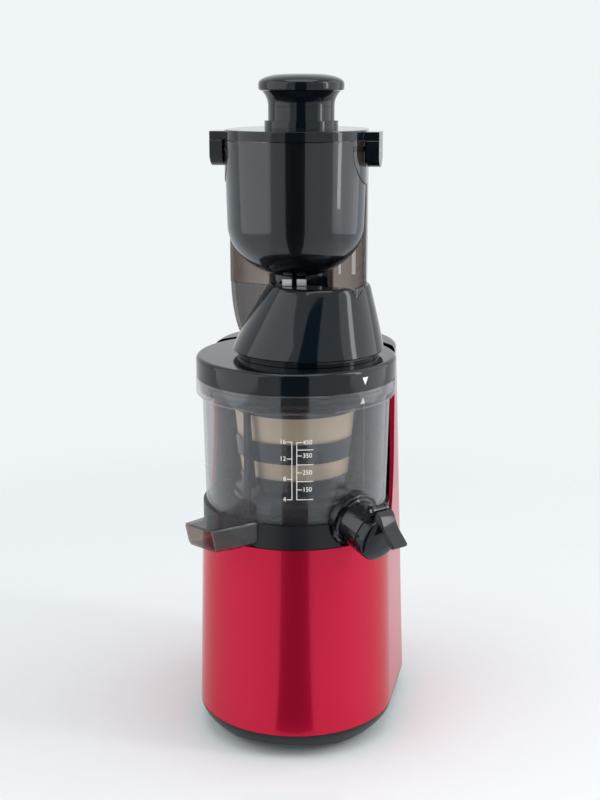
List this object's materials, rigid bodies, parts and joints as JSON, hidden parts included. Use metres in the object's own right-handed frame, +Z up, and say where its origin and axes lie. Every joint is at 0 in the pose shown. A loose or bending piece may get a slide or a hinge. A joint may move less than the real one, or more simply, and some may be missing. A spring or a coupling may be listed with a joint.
{
  "type": "cold press juicer",
  "caption": "Upright slow juicer: red housing with rear column, smoky drum with strainer and auger, black lid, wide hopper with flip gate, pusher, juice spout with cap and pulp chute.",
  "frame": {"origin": "middle of the footprint on the bench", "axes": "+Z up along the drive shaft, front towards -Y, juice spout towards +X"},
  "size_m": [0.1864, 0.2628, 0.54],
  "materials": {
    "red_shell": "metallic crimson paint under clear gloss",
    "black_satin": "satin moulded",
    "black_gloss": "high gloss moulded",
    "black_rubber": "soft matt",
    "bright_steel": "ground",
    "copper_wire": "enamelled wire",
    "green_board": "solder mask",
    "white_nylon": "natural moulded",
    "dark_smoke": "dark smoky clear",
    "clear_smoke": "smoky clear",
    "mesh_steel": "perforated steel"
  },
  "bodies": {
    "housing": {"body_shell": "red_shell", "column_panel": "black_satin", "column_cap": "black_gloss", "base_tray": "black_satin", "foot_front_left": "black_rubber", "foot_front_right": "black_rubber", "foot_rear_left": "black_rubber", "foot_rear_right": "black_rubber", "drum_deck": "black_gloss", "switch_bezel": "black_satin", "mains_gland": "black_rubber", "motor_stator": "bright_steel", "stator_windings": "copper_wire", "motor_bracket_lower": "bright_steel", "motor_bracket_upper": "bright_steel", "motor_bearing_lower": "bright_steel", "motor_bearing_upper": "bright_steel", "gearbox_case": "black_satin", "gearbox_cover": "black_satin", "output_bearing": "bright_steel", "idler_shaft": "bright_steel", "shaft_seal": "black_rubber", "control_board": "green_board", "run_capacitor": "bright_steel"},
    "rocker": {"rocker_switch": "black_gloss"},
    "rotor": {"motor_rotor": "bright_steel", "cooling_fan": "black_satin"},
    "idler": {"intermediate_gear": "white_nylon"},
    "output": {"output_gear": "white_nylon", "drive_shaft": "bright_steel"},
    "drum": {"juice_bowl": "clear_smoke", "pulp_plug": "black_rubber", "bowl_shaft_seal": "black_rubber", "pulp_chute": "clear_smoke", "juice_spout": "dark_smoke", "cap_pin": "bright_steel", "strainer_frame": "dark_smoke", "strainer_mesh": "mesh_steel"},
    "spout_cap": {"juice_cap": "black_gloss", "cap_seal": "black_rubber"},
    "planet_left": {"brush_gear_left": "white_nylon"},
    "planet_right": {"brush_gear_right": "white_nylon"},
    "brush": {"brush_carrier": "black_satin"},
    "auger": {"auger": "dark_smoke"},
    "lid": {"drum_lid": "black_gloss", "lid_bush": "white_nylon", "lid_seal": "black_rubber", "feed_chute": "dark_smoke", "gate_pin_left": "bright_steel", "gate_pin_right": "bright_steel", "feed_cone": "black_gloss", "hopper_lid": "black_gloss"},
    "gate": {"flip_gate": "dark_smoke", "gate_top": "black_gloss", "gate_catch_left": "bright_steel", "gate_catch_right": "bright_steel"},
    "pusher": {"pusher_shaft": "black_gloss", "pusher_head": "black_gloss"}
  },
  "joints": [
    {"name": "rotor_spin", "type": "hinge", "parent": "housing", "child": "rotor", "pos_m": [-0.00829, 0.01989, 0], "axis": [0, 0, 1], "continuous": true},
    {"name": "idler_spin", "type": "hinge", "parent": "housing", "child": "idler", "pos_m": [0.02425, 0.0045, 0], "axis": [0, 0, 1], "continuous": true},
    {"name": "output_spin", "type": "hinge", "parent": "housing", "child": "output", "pos_m": [-0.00829, -0.02511, 0], "axis": [0, 0, 1], "continuous": true},
    {"name": "switch_rock", "type": "hinge", "parent": "housing", "child": "rocker", "pos_m": [-0.00829, 0.12339, 0.07], "axis": [1, 0, 0], "range_deg": [-12, 12]},
    {"name": "drum_lift", "type": "slide", "parent": "housing", "child": "drum", "axis": [0, 0, 1], "range_m": [0, 0.06]},
    {"name": "auger_spin", "type": "hinge", "parent": "drum", "child": "auger", "pos_m": [-0.00829, -0.02511, 0], "axis": [0, 0, 1], "continuous": true},
    {"name": "brush_planet_left_spin", "type": "hinge", "parent": "drum", "child": "planet_left", "pos_m": [-0.03829, -0.02511, 0], "axis": [0, 0, 1], "continuous": true},
    {"name": "brush_planet_right_spin", "type": "hinge", "parent": "drum", "child": "planet_right", "pos_m": [0.02171, -0.02511, 0], "axis": [0, 0, 1], "continuous": true},
    {"name": "brush_spin", "type": "hinge", "parent": "drum", "child": "brush", "pos_m": [-0.00829, -0.02511, 0], "axis": [0, 0, 1], "continuous": true},
    {"name": "cap_open", "type": "hinge", "parent": "drum", "child": "spout_cap", "pos_m": [0.06877, -0.09697, 0.21454], "axis": [-0.682, -0.7314, 0], "range_deg": [0, 95]},
    {"name": "lid_lift", "type": "slide", "parent": "drum", "child": "lid", "axis": [0, 0, 1], "range_m": [0, 0.04]},
    {"name": "gate_flip", "type": "hinge", "parent": "lid", "child": "gate", "pos_m": [-0.00829, -0.02511, 0.483], "axis": [-1, 0, 0], "range_deg": [0, 45]},
    {"name": "pusher_slide", "type": "slide", "parent": "lid", "child": "pusher", "axis": [0, 0, 1], "range_m": [0, 0.155]}
  ],
  "couplings": [
    {"joint": "idler_spin", "follows": "rotor_spin", "ratio": -0.2},
    {"joint": "output_spin", "follows": "rotor_spin", "ratio": 0.044444},
    {"joint": "auger_spin", "follows": "rotor_spin", "ratio": 0.044444},
    {"joint": "brush_planet_left_spin", "follows": "rotor_spin", "ratio": -0.066667},
    {"joint": "brush_planet_right_spin", "follows": "rotor_spin", "ratio": -0.066667},
    {"joint": "brush_spin", "follows": "rotor_spin", "ratio": -0.019048}
  ]
}
